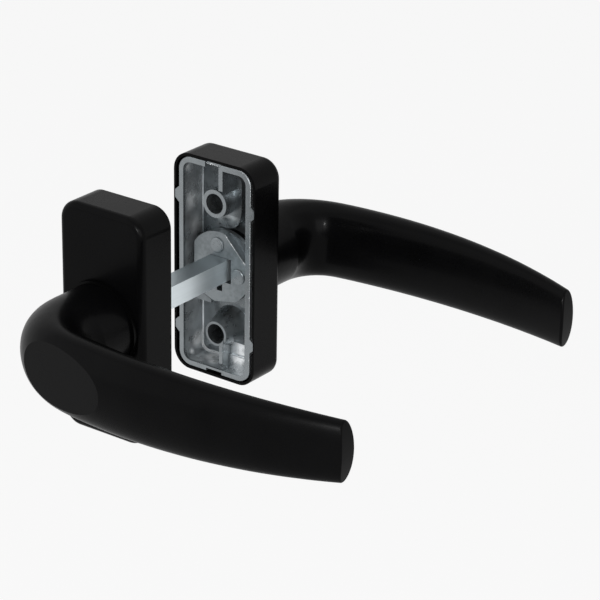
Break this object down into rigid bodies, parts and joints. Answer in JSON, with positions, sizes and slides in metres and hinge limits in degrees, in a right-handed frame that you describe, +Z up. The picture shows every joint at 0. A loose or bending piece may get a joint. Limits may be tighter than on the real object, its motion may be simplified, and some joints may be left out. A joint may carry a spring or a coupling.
{
  "type": "window handle",
  "caption": "Black two-sided lever handle set for a window or balcony door: mirrored curved levers on narrow rectangular roses, joined by a square spindle.",
  "frame": {"origin": "on the spindle axis, in the plane of the outer rose's mounting face, midway between its two screw posts", "axes": "+X from the spindle axis towards the tips of the levers, +Y along the spindle out through the outer half, +Z up along the roses"},
  "size_m": [0.1192, 0.1421, 0.071],
  "materials": {
    "lever_paint": "satin powder coat",
    "rose_paint": "satin powder coat",
    "zinc": "as die-cast zinc",
    "plated_steel": "zinc plated",
    "spindle_steel": "bright drawn",
    "dark_steel": "black oxide"
  },
  "bodies": {
    "outer_rosette": {"outer_cover": "rose_paint", "outer_base": "zinc", "outer_bush": "rose_paint"},
    "outer_handle": {"outer_lever": "lever_paint", "outer_driver": "plated_steel", "outer_disc": "zinc", "outer_rivets": "plated_steel", "outer_set_screw": "dark_steel", "spindle": "spindle_steel"},
    "inner_rosette": {"inner_cover": "rose_paint", "inner_base": "zinc", "inner_bush": "rose_paint"},
    "inner_handle": {"inner_lever": "lever_paint", "inner_driver": "plated_steel", "inner_disc": "zinc", "inner_rivets": "plated_steel", "inner_set_screw": "dark_steel"}
  },
  "joints": [
    {"name": "outer_turn", "type": "hinge", "parent": "outer_rosette", "child": "outer_handle", "pos_m": [0, 0, 0], "axis": [0, 1, 0], "range_deg": [-90, 90]},
    {"name": "leaf_take_up", "type": "slide", "parent": "outer_rosette", "child": "inner_rosette", "axis": [0, 1, 0], "range_m": [-0.008, 0.006]},
    {"name": "inner_turn", "type": "hinge", "parent": "inner_rosette", "child": "inner_handle", "pos_m": [0, -0.0393, 0], "axis": [0, 1, 0], "range_deg": [-90, 90]}
  ],
  "couplings": [
    {"joint": "inner_turn", "follows": "outer_turn", "ratio": 1}
  ]
}
